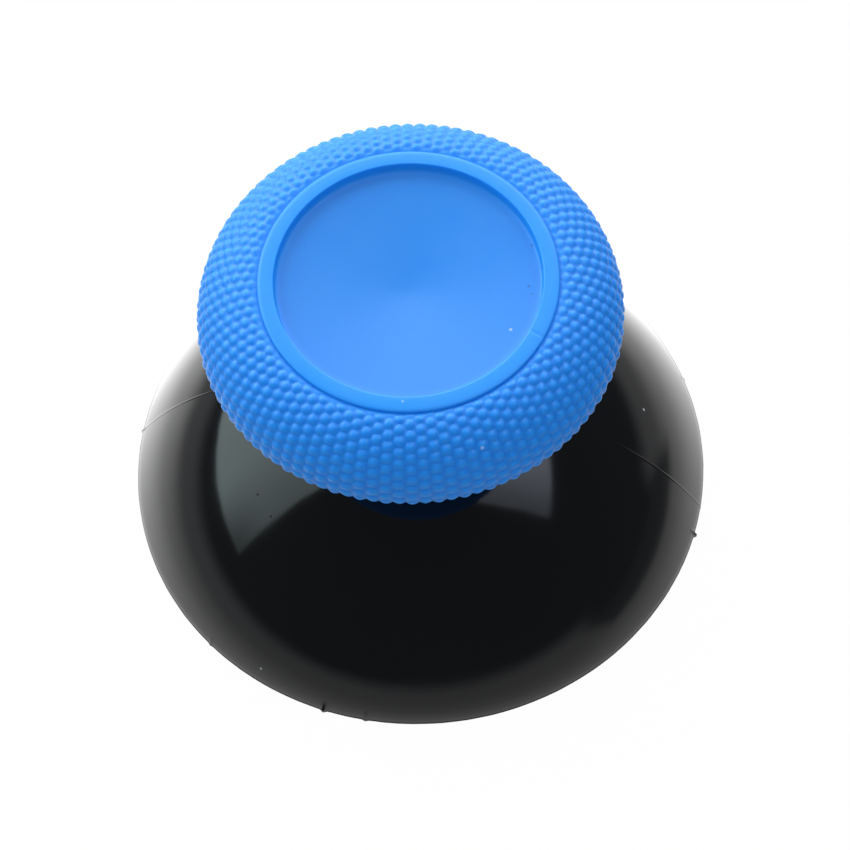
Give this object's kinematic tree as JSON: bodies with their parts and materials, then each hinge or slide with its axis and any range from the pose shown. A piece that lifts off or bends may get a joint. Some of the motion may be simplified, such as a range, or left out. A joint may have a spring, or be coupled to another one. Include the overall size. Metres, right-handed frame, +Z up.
{
  "type": "thumbstick cap",
  "caption": "Thumbstick cap with a knurled, dished grip moulded over the neck of a hollow dome skirt.",
  "frame": {"origin": "centre of the dome's foot, on the plane that it stands on", "axes": "+Z up along the neck towards the dish; the shaft socket's two flats face +Y and -Y"},
  "size_m": [0.025, 0.025, 0.0165],
  "materials": {
    "black_plastic": "polished, moulded",
    "blue_plastic": "satin, moulded, knurled rim"
  },
  "bodies": {
    "root": {"stick_dome": "black_plastic", "grip_cap": "blue_plastic"}
  },
  "joints": []
}
